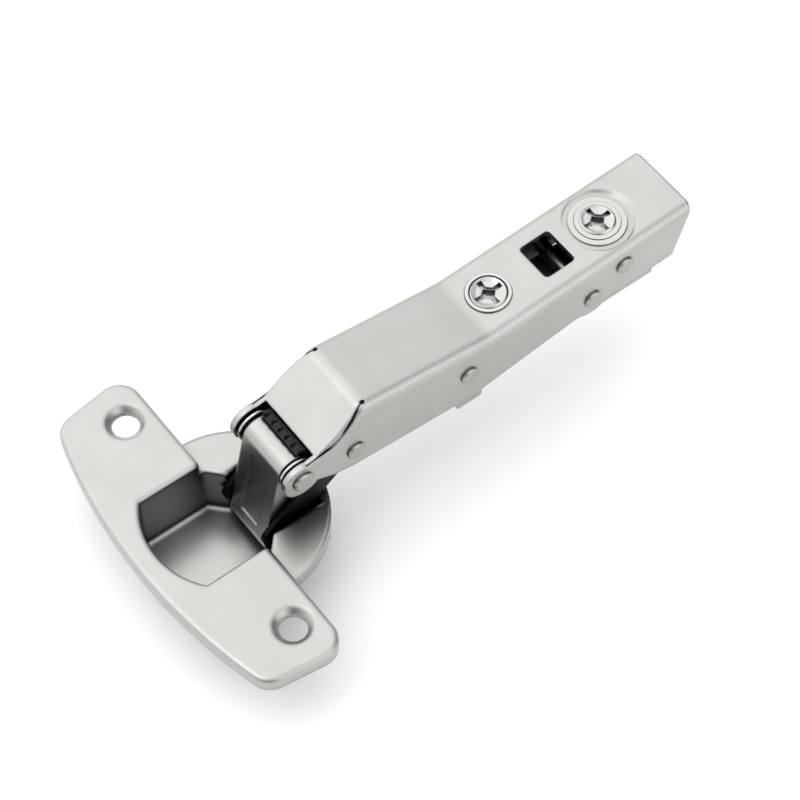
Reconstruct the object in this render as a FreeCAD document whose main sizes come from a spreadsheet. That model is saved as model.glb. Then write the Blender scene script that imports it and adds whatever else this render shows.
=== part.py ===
"""Concealed cup hinge for a cabinet door, shown open: screw-on cup, two links and a clip-on arm.

Frame: the origin is the centre of the 35 mm cup bore on the door face. +Z leaves the door along the
cup's axis, +X runs along the open arm, and the hinge mirrors itself about the XZ plane.
"""
import FreeCAD
import Part
import math
import os
import re
import Sketcher

V = FreeCAD.Vector
doc = FreeCAD.newDocument("cabinet_hinge")
sheet = doc.addObject("Spreadsheet::Sheet", "Sizes")
trial = doc.addObject("Spreadsheet::Sheet", "Trial")

# Driving sizes in millimetres and degrees
SIZES = {
    # Cup and flange
    "bore_radius": 17.5,
    "screw_offset": 5.5,
    "screw_half_pitch": 26.0,
    "screw_hole_radius": 2.6,
    "sink_radius": 3.8,
    "sink_depth": 1.5,
    "flange_height": 3.0,
    "flange_plate": 1.2,
    "flange_rear": 0.2,
    "flange_half_length": 35.2,
    "flange_front_corner": 16.0,
    "flange_front_half": 32.9,
    "flange_bow": 20.8,
    "flange_corner_radius": 4.4,
    "flange_edge_radius": 0.9,
    "rim_plate": 1.1,
    "rim_skirt": 3.4,
    "cup_wall": 0.9,
    "cup_floor": 1.0,
    "cup_depth": 12.8,
    "pocket_half_width": 10.4,
    "pocket_rear": 0.8,
    "slot_front": 3.6,
    "slot_gap": 0.8,
    "slot_lip": 0.95,
    "slot_corner_gap": 0.2,
    # Link pivots
    "cup_axle_x": 7.0,
    "cup_axle_z": -7.2,
    "cup_axle_radius": 1.75,
    "stud_x": 4.4,
    "stud_z": -3.4,
    "stud_radius": 1.25,
    "nose_pin_x": 9.8,
    "nose_pin_z": 12.3,
    "nose_pin_radius": 1.9,
    "link_pin_x": 21.2,
    "link_pin_z": 11.6,
    "link_pin_radius": 1.7,
    "running_gap": 0.03,
    "side_gap": 0.2,
    "fork_gap": 0.5,
    "open_pivot_play": 0.7,
    "eye_shift_x": 0.15,
    "eye_shift_z": -0.43,
    # Links
    "outer_link_sheet": 1.1,
    "roll_radius": 3.2,
    "heel_radius": 4.4,
    "panel_half": 2.5,
    "panel_depth": 0.3,
    "fork_plate": 1.0,
    "fork_stud_end": 2.6,
    "fork_pin_end": 3.5,
    "bridge_start": 10.2,
    "bridge_end": 19.0,
    "bridge_plate": 1.1,
    # Arm
    "arm_half": 8.3,
    "arm_sheet": 1.2,
    "arm_bend_radius": 2.0,
    "inner_bend_radius": 0.4,
    "tab_x": 13.0,
    "tab_z": 16.3,
    "crest_x": 23.1,
    "crest_z": 23.2,
    "crest_radius": 3.0,
    "waist_x": 51.8,
    "waist_z": 19.1,
    "waist_radius": 9.0,
    "tail_x": 97.9,
    "tail_z": 21.4,
    "tail_low_x": 94.4,
    "tail_low_z": 9.3,
    "belly_rear_x": 74.6,
    "belly_rear_z": 8.5,
    "belly_low_x": 46.8,
    "belly_low_z": 4.6,
    "belly_front_x": 20.5,
    "belly_front_z": 6.9,
    "nose_lobe": 3.9,
    "throat_x": 16.4,
    "throat_z": 8.0,
    "pin_lobe": 4.5,
    "tab_step": 0.4,
    "slit_width": 0.28,
    "slit_depth": 1.6,
    "slit_end_radius": 0.4,
    "tab_plate": 0.95,
    "tab_taper": 1.15,
    "tab_root_gap": -0.4,
    # Pins riveted in the arm
    "rivet_radius": 1.5,
    "rivet_head_radius": 1.85,
    "nose_head_radius": 2.15,
    "head_height": 0.65,
    "head_chamfer": 0.3,
    "hook_pin_x": 46.5,
    "hook_pin_z": 12.4,
    "guide_pin_x": 75.1,
    "guide_pin_z": 11.7,
    "tail_pin_x": 82.3,
    "tail_pin_z": 16.1,
    # Adjusting screws
    "side_screw_x": 57.1,
    "side_head_radius": 3.6,
    "side_head_sink": 0.9,
    "side_head_height": 0.35,
    "collar_radius": 4.25,
    "collar_height": 0.3,
    "side_thread_radius": 2.0,
    "side_neck_radius": 1.2,
    "side_foot_radius": 2.1,
    "side_foot_low": 6.8,
    "cam_x": 82.3,
    "cam_head_radius": 3.4,
    "cam_head_height": 0.85,
    "cam_step_radius": 4.35,
    "cam_step_height": 0.5,
    "cam_ring_radius": 5.6,
    "cam_ring_height": 0.35,
    "dish_radius": 6.5,
    "dish_front": 6.2,
    "dish_sheet": 1.05,
    "cam_stem_radius": 3.0,
    "recess_width": 1.0,
    "recess_span": 2.85,
    "recess_core": 1.3,
    "recess_depth": 0.7,
    "core_span": 1.6,
    "core_depth": 1.5,
    "window_front": 67.2,
    "window_rear": 74.0,
    "window_half": 4.1,
    "window_corner": 0.9,
    "carrier_tilt": 1.2,
    # Carrier, the channel that clips on the mounting plate
    "carrier_gap": 0.7,
    "carrier_sheet": 1.2,
    "carrier_top": 9.8,
    "carrier_low": 4.2,
    "carrier_front": 40.6,
    "web_front": 51.3,
    "carrier_rear": 91.5,
    "hook_low": -0.6,
    "hook_front": 45.4,
    "hook_rear": 51.2,
    "front_ear_top": 16.4,
    "front_ear_rear": 52.4,
    "ear_front": 83.8,
    "ear_top": 14.5,
    "depth_travel": 2.0,
    "carrier_axle_x": 86.6,
    "carrier_axle_z": 12.4,
    "carrier_axle_radius": 1.2,
    "block_gap": 0.3,
    "block_front": 78.8,
    "block_rear": 90.2,
    "block_low": 10.4,
    "block_top": 18.8,
    "block_lip": 2.4,
    "block_lip_low": 14.2,
    "catch_axle_x": 88.4,
    "catch_axle_z": 6.4,
    "catch_axle_radius": 1.0,
    "catch_gap": 0.4,
    "catch_rear": 95.0,
    "catch_nose": 83.2,
    "catch_low": 3.2,
    # Damper and closing spring in the arm
    "housing_gap": 0.3,
    "rib_width": 0.7,
    "rib_gap": 1.25,
    "rib_depth": 0.8,
    "damper_radius": 2.6,
    "damper_front_x": 27.4,
    "damper_front_z": 16.6,
    "damper_length": 13.8,
    "damper_tilt": 8.0,
    "rod_radius": 0.9,
    "rod_length": 6.2,
    "rod_tip_radius": 1.7,
    "spring_radius": 2.3,
    "spring_wire": 0.4,
    "spring_turns": 6.0,
    "spring_front_x": 29.6,
    "spring_length": 10.6,
    "spring_z": 9.2,
    "plunger_tip_x": 22.4,
    "plunger_tip_radius": 1.1,
    "plunger_guide": 6.5,
    "seat_sheet": 1.2,
    "seat_eye": 2.6,
}

# Sizes worked out from the driving ones
DERIVED = {
    "plate_under": "flange_height - flange_plate",
    "inner_floor": "cup_floor - cup_depth",
    "arc_in": "bore_radius - 0.1 - cup_wall",
    "arc_out": "bore_radius - 0.1",
    "bow_drop": "flange_bow - flange_front_corner",
    "bow_radius": "(flange_front_half^2 + bow_drop^2) / (2 * bow_drop)",
    "pocket_front": "sqrt(arc_in^2 - pocket_half_width^2)",
    "pocket_out": "pocket_half_width + cup_wall",
    "pocket_front_out": "sqrt(arc_out^2 - pocket_out^2)",
    "arm_inner": "arm_half - arm_sheet",
    "tab_half": "arm_half - tab_step",
    "fork_half": "arm_inner - fork_gap",
    "fork_inner": "fork_half - fork_plate",
    "slot_half_width": "fork_half + slot_gap",
    "slot_out": "slot_half_width + cup_wall",
    "slot_rear": "sqrt((arc_out - slot_corner_gap)^2 - slot_out^2) - cup_wall",
    "outer_link_half": "fork_inner - side_gap",
    "housing_half": "fork_inner - housing_gap",
    "carrier_half": "arm_inner - carrier_gap",
    "roll_eye": "roll_radius - outer_link_sheet",
    "link_inner": "outer_link_half - outer_link_sheet",
    "link_eye": "link_pin_radius + open_pivot_play",
    "tab_slope": "atan2(crest_z - tab_z; crest_x - tab_x) * 1",
    "mid_slope": "atan2(waist_z - crest_z; waist_x - crest_x) * 1",
    "tail_tilt": "atan2(tail_z - waist_z; tail_x - waist_x) * 1",
    "crest_turn": "cos((tab_slope - mid_slope) / 2)",
    "waist_turn": "cos((mid_slope - tail_tilt) / 2)",
    "crest_in_x": "crest_x + arm_sheet * sin((tab_slope + mid_slope) / 2) / crest_turn",
    "crest_in_z": "crest_z - arm_sheet * cos((tab_slope + mid_slope) / 2) / crest_turn",
    "waist_in_x": "waist_x + arm_sheet * sin((mid_slope + tail_tilt) / 2) / waist_turn",
    "waist_in_z": "waist_z - arm_sheet * cos((mid_slope + tail_tilt) / 2) / waist_turn",
    "tab_in_z": "tab_z - arm_sheet / cos(tab_slope)",
    "tab_length": "sqrt((crest_x - tab_x)^2 + (crest_z - tab_z)^2)",
    "crest_run": "crest_radius * tan((tab_slope - mid_slope) / 2)",
    "crest_one_x": "crest_x - crest_run * cos(tab_slope)",
    "crest_one_z": "crest_z - crest_run * sin(tab_slope)",
    "crest_two_x": "crest_x + crest_run * cos(mid_slope)",
    "crest_two_z": "crest_z + crest_run * sin(mid_slope)",
    "waist_run": "waist_radius * tan((tail_tilt - mid_slope) / 2)",
    "waist_one_x": "waist_x - waist_run * cos(mid_slope)",
    "waist_one_z": "waist_z - waist_run * sin(mid_slope)",
    "waist_two_x": "waist_x + waist_run * cos(tail_tilt)",
    "waist_two_z": "waist_z + waist_run * sin(tail_tilt)",
    "side_screw_z": "waist_z + (side_screw_x - waist_x) * tan(tail_tilt)",
    "cam_z": "waist_z + (cam_x - dish_front - waist_x) * tan(tail_tilt)",
    "dish_low": "cam_z - dish_sheet",
    "dish_in_front": "waist_in_x + (dish_low - waist_in_z) / tan(tail_tilt)",
    "dish_in_rear": "cam_x + dish_radius + 1.5",
    "head_face": "arm_half + head_height",
    "carrier_inner": "carrier_half - carrier_sheet",
    "block_half": "carrier_inner - block_gap",
    "catch_half": "carrier_inner - catch_gap",
    "web_low": "carrier_top - carrier_sheet",
    "eye_x": "link_pin_x + eye_shift_x",
    "eye_z": "link_pin_z + eye_shift_z",
    "fork_slope": "atan2(eye_z - stud_z; eye_x - stud_x) * 1",
    "link_slope": "atan2(nose_pin_z - cup_axle_z; nose_pin_x - cup_axle_x) * 1",
    "link_length": "sqrt((nose_pin_x - cup_axle_x)^2 + (nose_pin_z - cup_axle_z)^2)",
    "web_side": "link_slope + acos((heel_radius - roll_radius) / link_length) * 1",
    "web_low_x": "cup_axle_x + heel_radius * cos(web_side)",
    "web_low_z": "cup_axle_z + heel_radius * sin(web_side)",
    "web_top_x": "nose_pin_x + roll_radius * cos(web_side)",
    "web_top_z": "nose_pin_z + roll_radius * sin(web_side)",
    "hook_pin_swing": "(carrier_axle_x - hook_pin_x) * tan(carrier_tilt) + 0.08",
    "neck_x": "side_screw_x + (side_screw_z - carrier_top + carrier_sheet / 2) * tan(tail_tilt)",
    "neck_room": "(carrier_axle_x - side_screw_x) * tan(carrier_tilt) + 0.3",
}
KNOWN = set(SIZES) | set(DERIVED)


def fill_sheet():
    """Writes the driving sizes as plain numbers and the derived ones as formulas, each with its alias."""
    for row, (name, number) in enumerate(SIZES.items(), start=1):
        sheet.set(f"A{row}", name)
        sheet.set(f"B{row}", str(number))
        sheet.setAlias(f"B{row}", name)
    for row, (name, formula) in enumerate(DERIVED.items(), start=len(SIZES) + 1):
        sheet.set(f"A{row}", name)
        sheet.set(f"B{row}", "=" + formula)
        sheet.setAlias(f"B{row}", name)
    doc.recompute()


def size(name):
    """Reads one size from the sheet as a plain number."""
    number = sheet.get(name)
    return getattr(number, "Value", number)


def bound(formula):
    """Turns the size names in a formula into references to the sheet's cells."""
    return re.sub(r"[a-z][a-z_]*", lambda m: "Sizes." + m[0] if m[0] in KNOWN else m[0], str(formula))


def value(formula):
    """Works out a formula of size names as a plain number, in the trial sheet's one cell."""
    trial.set("A1", "=" + bound(formula))
    trial.recompute()
    result = trial.get("A1")
    return getattr(result, "Value", result)


def new_body(name, place=None, tilt=None):
    """Makes a body whose Label is the sub-part's name, placed at three formulas and tilted nose up."""
    body = doc.addObject("PartDesign::Body", name)
    body.Label = name
    if tilt:
        body.Placement = FreeCAD.Placement(V(0, 0, 0), FreeCAD.Rotation(V(0, -1, 0), value(tilt)))
        body.setExpression("Placement.Rotation.Angle", bound(tilt))
    for axis, formula in zip("xyz", place or ()):
        body.setExpression(f"Placement.Base.{axis}", bound(formula))
    return body


def new_sketch(body, name, role, height=None):
    """Attaches a sketch to one of the body's own origin planes, at a height above it if one is given."""
    sketch = body.newObject("Sketcher::SketchObject", name)
    plane = next(f for f in body.Origin.OriginFeatures if f.Role == role)
    sketch.AttachmentSupport = [(plane, "")]
    sketch.MapMode = "FlatFace"
    if height is not None:
        sketch.setExpression("AttachmentOffset.Base.z", bound(height))
    return sketch


def fix_point(sketch, geo, pos, point):
    """Ties one point of the sketch to its two formulas, measured from the sketch's origin."""
    for kind, formula in zip(("DistanceX", "DistanceY"), point):
        index = sketch.addConstraint(Sketcher.Constraint(kind, -1, 1, geo, pos, value(formula)))
        sketch.setExpression(f"Constraints[{index}]", bound(formula))


def fix_radius(sketch, geo, formula):
    """Ties the radius of a circle or an arc to its formula."""
    index = sketch.addConstraint(Sketcher.Constraint("Radius", geo, value(formula)))
    sketch.setExpression(f"Constraints[{index}]", bound(formula))


def outline(sketch, points, arcs=None):
    """Draws a closed outline through the points; arcs maps a side's number to a radius and a bulge side."""
    arcs = arcs or {}
    spots = [V(value(x), value(y), 0) for x, y in points]
    first = sketch.GeometryCount
    for i, start in enumerate(spots):
        end = spots[(i + 1) % len(spots)]
        if i in arcs:
            radius, side = arcs[i]
            middle = bulge_point(start, end, value(radius), side)
            sketch.addGeometry(Part.Arc(start, middle, end) if side < 0 else Part.Arc(end, middle, start))
        else:
            sketch.addGeometry(Part.LineSegment(start, end))
    for i in range(len(spots)):
        here, after = first + i, first + (i + 1) % len(spots)
        start_pos, end_pos = arc_ends(sketch, here, spots[i])
        next_start = arc_ends(sketch, after, spots[(i + 1) % len(spots)])[0]
        sketch.addConstraint(Sketcher.Constraint("Coincident", here, end_pos, after, next_start))
        fix_point(sketch, here, start_pos, points[i])
    for i, (radius, side) in arcs.items():
        fix_radius(sketch, first + i, radius)


def bulge_point(start, end, radius, side):
    """Finds the middle of the shorter arc from start to end, bulging to the left (1) or the right (-1)."""
    chord = end - start
    half = chord.Length / 2
    rise = radius - math.sqrt(radius ** 2 - half ** 2)
    left = V(-chord.y, chord.x, 0).normalize()
    return (start + end) / 2 + left * (rise * side)


def arc_ends(sketch, geo, start):
    """Tells which end of the line or arc lies at the given start point: its numbers for start and end."""
    curve = sketch.Geometry[geo]
    return (1, 2) if curve.StartPoint.distanceToPoint(start) < 1e-6 else (2, 1)


def circle(sketch, centre, radius):
    """Draws a circle tied to the formulas of its centre and radius."""
    middle = V(value(centre[0]), value(centre[1]), 0)
    geo = sketch.addGeometry(Part.Circle(middle, V(0, 0, 1), value(radius)))
    fix_point(sketch, geo, 3, centre)
    fix_radius(sketch, geo, radius)


def tapered_bar(sketch, first, first_radius, second, second_radius):
    """Draws two round ends joined by their two outer tangents, as on a flat link."""
    a, b = (V(value(p[0]), value(p[1]), 0) for p in (first, second))
    ra, rb = value(first_radius), value(second_radius)
    base = math.atan2(b.y - a.y, b.x - a.x)
    spread = math.acos((ra - rb) / a.distanceToPoint(b))
    left, right = base + spread, base - spread
    z_axis = V(0, 0, 1)
    spot = lambda centre, r, angle: centre + V(math.cos(angle), math.sin(angle), 0) * r
    end_a = sketch.addGeometry(Part.ArcOfCircle(Part.Circle(a, z_axis, ra), left, right + 2 * math.pi))
    lower = sketch.addGeometry(Part.LineSegment(spot(a, ra, right), spot(b, rb, right)))
    end_b = sketch.addGeometry(Part.ArcOfCircle(Part.Circle(b, z_axis, rb), right, left))
    upper = sketch.addGeometry(Part.LineSegment(spot(b, rb, left), spot(a, ra, left)))
    for one, one_pos, two, two_pos in ((end_a, 2, lower, 1), (lower, 2, end_b, 1),
                                       (end_b, 2, upper, 1), (upper, 2, end_a, 1)):
        sketch.addConstraint(Sketcher.Constraint("Tangent", one, one_pos, two, two_pos))
    for geo, centre, radius in ((end_a, first, first_radius), (end_b, second, second_radius)):
        fix_point(sketch, geo, 3, centre)
        fix_radius(sketch, geo, radius)


def long_hole(sketch, centre, half_length, radius):
    """Draws a slot along the sketch's first axis, tied to its centre, half length and radius."""
    x, y = centre
    tapered_bar(sketch, (f"{x} - ({half_length})", y), radius, (f"{x} + ({half_length})", y), radius)


def settle(feature):
    """Recomputes, and stops if the feature did not build."""
    doc.recompute()
    if "Invalid" in feature.State or "Error" in feature.State or not feature.Shape.isValid():
        raise ValueError(f"{feature.Name} did not build")
    return feature


def pad(body, sketch, length, midplane=True, flip=False):
    """Pads the sketch by a formula, to both sides of its plane or to one."""
    feature = body.newObject("PartDesign::Pad", sketch.Name + "_pad")
    feature.Profile = sketch
    feature.Midplane = midplane
    feature.Reversed = flip
    feature.setExpression("Length", bound(length))
    return settle(feature)


def pocket(body, sketch, length, midplane=True, flip=False):
    """Cuts the sketch by a formula and makes sure that the cut took something away."""
    before = body.Shape.Volume
    feature = body.newObject("PartDesign::Pocket", sketch.Name + "_pocket")
    feature.Profile = sketch
    feature.Midplane = midplane
    feature.Reversed = flip
    feature.setExpression("Length", bound(length))
    settle(feature)
    if not body.Shape.Volume < before - 1e-6:
        raise ValueError(f"{sketch.Name} cuts nothing")
    return feature


def revolve(body, sketch):
    """Turns the sketch about its own second axis."""
    feature = body.newObject("PartDesign::Revolution", sketch.Name + "_turn")
    feature.Profile = sketch
    feature.ReferenceAxis = (sketch, ["V_Axis"])
    feature.Angle = 360
    return settle(feature)


def groove(body, sketch):
    """Cuts the sketch, turned about its own second axis, out of the body."""
    feature = body.newObject("PartDesign::Groove", sketch.Name + "_cut")
    feature.Profile = sketch
    feature.ReferenceAxis = (sketch, ["V_Axis"])
    feature.Angle = 360
    return settle(feature)


def round_edges(body, name, radius, wanted, kind="PartDesign::Fillet"):
    """Rounds or bevels the edges of the body's shape that the test picks out."""
    base = body.Tip
    picked = [f"Edge{i}" for i, edge in enumerate(base.Shape.Edges, start=1) if wanted(edge)]
    if not picked:
        raise ValueError(f"{name} finds no edge")
    feature = body.newObject(kind, name)
    feature.Base = (base, picked)
    feature.setExpression("Radius" if kind.endswith("Fillet") else "Size", bound(radius))
    return settle(feature)


def ends(edge):
    """Gives the two end points of an edge."""
    return edge.Vertexes[0].Point, edge.Vertexes[-1].Point


def new_tilted_sketch(body, name, x, z):
    """Attaches a sketch square to the arm's rear top, with its origin at a place in the XZ plane."""
    sketch = new_sketch(body, name, "XY_Plane")
    sketch.AttachmentOffset = FreeCAD.Placement(V(0, 0, 0), FreeCAD.Rotation(V(0, -1, 0), size("tail_tilt")))
    sketch.setExpression("AttachmentOffset.Rotation.Angle", bound("tail_tilt"))
    sketch.setExpression("AttachmentOffset.Base.x", bound(x))
    sketch.setExpression("AttachmentOffset.Base.z", bound(z))
    return sketch


def new_tab_sketch(body, name, height):
    """Attaches a sketch in the plane of the arm's nose tab, its origin at the tab's front edge."""
    sketch = new_sketch(body, name, "XY_Plane")
    sketch.AttachmentOffset = FreeCAD.Placement(V(0, 0, 0), FreeCAD.Rotation(V(0, -1, 0), size("tab_slope")))
    sketch.setExpression("AttachmentOffset.Rotation.Angle", bound("tab_slope"))
    sketch.setExpression("AttachmentOffset.Base.x", bound(f"tab_x - ({height}) * sin(tab_slope)"))
    sketch.setExpression("AttachmentOffset.Base.z", bound(f"tab_z + ({height}) * cos(tab_slope)"))
    return sketch


def along_z(edge):
    """True for an edge that runs straight up."""
    a, b = ends(edge)
    return abs(a.x - b.x) + abs(a.y - b.y) < 1e-6 and abs(a.z - b.z) > 1e-6


def lies_at(edge, level):
    """True for an edge that lies flat at a height."""
    return all(abs(v.Point.z - level) < 1e-5 for v in edge.Vertexes)


def make_cup():
    """Pressed cup with its screw flange: a flanged plate, a round rim and a deep pocket with a link slot."""
    body = new_body("hinge_cup")
    top, half, t = "flange_height", "flange_half_length", "flange_plate"
    plate = new_sketch(body, "flange_plate_outline", "XY_Plane")
    corners = [("flange_rear", f"-{half}"), ("flange_rear", half),
               ("-flange_front_corner", "flange_front_half"), ("-flange_front_corner", "-flange_front_half")]
    outline(plate, corners, {2: ("bow_radius", -1)})
    pad(body, plate, top, midplane=False)
    round_edges(body, "flange_corners", "flange_corner_radius", along_z)
    round_edges(body, "flange_top_edge", "flange_edge_radius", lambda e: lies_at(e, size("flange_height")))

    hollow = new_sketch(body, "flange_hollow", "XY_Plane")
    r = "(flange_corner_radius - flange_plate)"
    rear, front = f"flange_rear - {t}", f"{t} - flange_front_corner"
    end, near = f"(flange_half_length - 1.2 * {t})", f"(flange_front_half - 0.9 * {t})"
    inner = [(rear, f"{r} - {end}"), (rear, f"{end} - {r}"), (f"{rear} - {r}", end),
             (f"{front} + {r} - 0.4", f"{near} + 0.1"), (f"{front} - 0.8", f"{near} - {r}"),
             (f"{front} - 0.8", f"{r} - {near}"), (f"{front} + {r} - 0.4", f"-0.1 - {near}"),
             (f"{rear} - {r}", f"-{end}")]
    outline(hollow, inner, {1: (r, -1), 3: (r, -1), 4: (f"bow_radius - {t}", -1), 5: (r, -1), 7: (r, -1)})
    pocket(body, hollow, "plate_under", midplane=False, flip=True)

    seats = new_sketch(body, "screw_seats", "XY_Plane", "flange_height - sink_depth - 0.5")
    for side in ("-", ""):
        circle(seats, ("-screw_offset", f"{side}screw_half_pitch"), "sink_radius + 0.9")
    pad(body, seats, "plate_under - (flange_height - sink_depth - 0.5) + 0.1", midplane=False)

    rim = new_sketch(body, "rim_disc", "XY_Plane")
    circle(rim, ("0", "0"), "arc_out")
    pad(body, rim, "rim_skirt", midplane=False, flip=True)
    bore = new_sketch(body, "rim_hollow", "XY_Plane", "-rim_skirt")
    circle(bore, ("0", "0"), "arc_in")
    pocket(body, bore, "rim_skirt - rim_plate", midplane=False, flip=True)

    front = new_sketch(body, "pocket_front_wall", "XY_Plane", "plate_under + 0.1")
    step = "flange_rear - flange_plate / 2"
    wall = [("-pocket_front_out", "-pocket_out"), ("-pocket_front_out", "pocket_out"),
            (step, "pocket_out"), (step, "-pocket_out")]
    outline(front, wall, {0: ("arc_out", 1)})
    pad(body, front, "plate_under + 0.1 + cup_depth", midplane=False, flip=True)
    rear = new_sketch(body, "pocket_rear_wall", "XY_Plane", "-rim_plate / 2")
    wall = [(f"{step} - 1", "-pocket_out"), (f"{step} - 1", "pocket_out"), ("pocket_rear + 0.5", "pocket_out"),
            ("slot_front + 0.5", "slot_out"), ("slot_rear + cup_wall", "slot_out"),
            ("slot_rear + cup_wall", "-slot_out"), ("slot_front + 0.5", "-slot_out"),
            ("pocket_rear + 0.5", "-pocket_out")]
    outline(rear, wall)
    pad(body, rear, "cup_depth - rim_plate / 2", midplane=False, flip=True)

    inner = new_sketch(body, "pocket_inside", "XY_Plane", "flange_height + 1")
    room = [("-pocket_front", "-pocket_half_width"), ("-pocket_front", "pocket_half_width"),
            ("pocket_rear", "pocket_half_width"), ("slot_front", "slot_half_width"),
            ("slot_rear", "slot_half_width"), ("slot_rear", "-slot_half_width"),
            ("slot_front", "-slot_half_width"), ("pocket_rear", "-pocket_half_width")]
    outline(inner, room, {0: ("arc_in", 1)})
    pocket(body, inner, "flange_height + 1 - inner_floor", midplane=False)

    level = size("flange_height")
    in_plan = lambda e: all(math.hypot(v.Point.x, v.Point.y) < size("bore_radius") for v in e.Vertexes)
    round_edges(body, "opening_lip", "flange_edge_radius - 0.1", lambda e: lies_at(e, level) and in_plan(e))
    at_slot = lambda e: (lies_at(e, 0) and all(abs(v.Point.y) < size("slot_half_width") + 1e-4 and v.Point.x > size("pocket_rear") + 1
                                               and v.Point.x < size("slot_rear") + 1e-4 for v in e.Vertexes))
    round_edges(body, "slot_lip_bend", "slot_lip", at_slot)
    round_edges(body, "floor_bend", "cup_wall", lambda e: lies_at(e, size("inner_floor")))

    holes = new_sketch(body, "screw_holes", "XY_Plane", "flange_height + 1")
    for side in ("-", ""):
        circle(holes, ("-screw_offset", f"{side}screw_half_pitch"), "screw_hole_radius")
    pocket(body, holes, "flange_height + 1", midplane=False)
    at_hole = lambda e: e.Curve.TypeId == "Part::GeomCircle" and abs(e.Curve.Radius - size("screw_hole_radius")) < 1e-6
    round_edges(body, "screw_sinks", "sink_radius - screw_hole_radius",
                lambda e: at_hole(e) and lies_at(e, level), "PartDesign::Chamfer")

    pivots = new_sketch(body, "pivot_holes", "XZ_Plane")
    circle(pivots, ("cup_axle_x", "cup_axle_z"), "cup_axle_radius")
    circle(pivots, ("stud_x", "stud_z"), "stud_radius")
    pocket(body, pivots, "2 * pocket_out + 4")
    return body


def turned_pin(name, place, profile):
    """Turns a pin about the Y axis from its radius and Y pairs."""
    body = new_body(name, place)
    sketch = new_sketch(body, name + "_profile", "XY_Plane")
    outline(sketch, profile)
    revolve(body, sketch)
    return body


def make_rivet(name, x, z, shank, head):
    """Pin riveted through both walls of the arm, with a bevelled head outside each."""
    edge, face = "head_chamfer", "head_face"
    upper = [(shank, "arm_half"), (head, "arm_half"), (head, f"{face} - {edge}"), (f"{head} - {edge}", face),
             ("0", face)]
    lower = [(r, f"-({y})") for r, y in reversed(upper)]
    return turned_pin(name, (x, "0", z), lower + upper)


def make_cup_pins():
    """Axle of the outer link, from wall to wall of the cup, and the two short studs of the inner link."""
    half = "slot_out"
    turned_pin("cup_axle", ("cup_axle_x", "0", "cup_axle_z"),
               [("0", f"-{half}"), ("cup_axle_radius", f"-{half}"), ("cup_axle_radius", half), ("0", half)])
    for side, sign in (("left", ""), ("right", "-")):
        turned_pin(f"{side}_stud", ("stud_x", "0", "stud_z"),
                   [("0", f"{sign}(fork_inner - 0.05)"), ("stud_radius", f"{sign}(fork_inner - 0.05)"),
                    ("stud_radius", f"{sign}{half}"), ("0", f"{sign}{half}")])


def make_outer_link():
    """Folded link: a web with a shallow pressed panel, two ears, and a roll round the nose pin."""
    body = new_body("outer_link")
    axle, pin = ("cup_axle_x", "cup_axle_z"), ("nose_pin_x", "nose_pin_z")
    bar = new_sketch(body, "link_bar", "XZ_Plane")
    tapered_bar(bar, axle, "heel_radius", pin, "roll_radius")
    pad(body, bar, "2 * outer_link_half")
    room = new_sketch(body, "link_fold", "XZ_Plane")
    tapered_bar(room, axle, "heel_radius - outer_link_sheet", pin, "roll_eye")
    pocket(body, room, "2 * link_inner")
    back = new_sketch(body, "link_back", "XZ_Plane")
    outline(back, [("cup_axle_x", "cup_axle_z - heel_radius - 1"), ("cup_axle_x + 12", "cup_axle_z - heel_radius - 1"),
                   ("cup_axle_x + 12", "nose_pin_z - 0.6"), ("nose_pin_x", "nose_pin_z - 0.6")])
    pocket(body, back, "2 * link_inner")
    panel = new_sketch(body, "link_panel", "XZ_Plane")
    along = lambda f, out: (f"web_low_x + {f} * (web_top_x - web_low_x) + ({out}) * cos(web_side)",
                            f"web_low_z + {f} * (web_top_z - web_low_z) + ({out}) * sin(web_side)")
    outline(panel, [along(0.1, "1"), along(0.1, "-panel_depth"), along(0.9, "-panel_depth"), along(0.9, "1")])
    pocket(body, panel, "2 * panel_half")
    eyes = new_sketch(body, "link_eyes", "XZ_Plane")
    circle(eyes, axle, "cup_axle_radius + running_gap")
    circle(eyes, pin, "nose_pin_radius + running_gap")
    pocket(body, eyes, "2 * outer_link_half + 2")
    return body


def make_inner_link():
    """Fork of two plates joined by a bridge; the eyes at the arm's pin are wide, as the open pivot."""
    body = new_body("inner_link")
    stud, pin = ("stud_x", "stud_z"), ("eye_x", "eye_z")
    spot = lambda s, o: (f"stud_x + {s} * cos(fork_slope) + ({o}) * sin(fork_slope)",
                         f"stud_z + {s} * sin(fork_slope) - ({o}) * cos(fork_slope)")
    low, high = "fork_stud_end", "fork_stud_end - bridge_plate"
    bridge = new_sketch(body, "fork_bridge", "XZ_Plane")
    outline(bridge, [spot("bridge_start", low), spot("bridge_end", low),
                     spot("bridge_end", high), spot("bridge_start", high)])
    pad(body, bridge, "2 * fork_inner + fork_plate")
    for name, height, flip in (("right_plate", "fork_inner", False), ("left_plate", "-fork_inner", True)):
        plate = new_sketch(body, name, "XZ_Plane", height)
        tapered_bar(plate, stud, "fork_stud_end", pin, "fork_pin_end")
        pad(body, plate, "fork_plate", midplane=False, flip=flip)
    eyes = new_sketch(body, "fork_eyes", "XZ_Plane")
    circle(eyes, stud, "stud_radius + running_gap")
    circle(eyes, pin, "link_eye")
    pocket(body, eyes, "2 * fork_half + 2")
    return body


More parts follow.
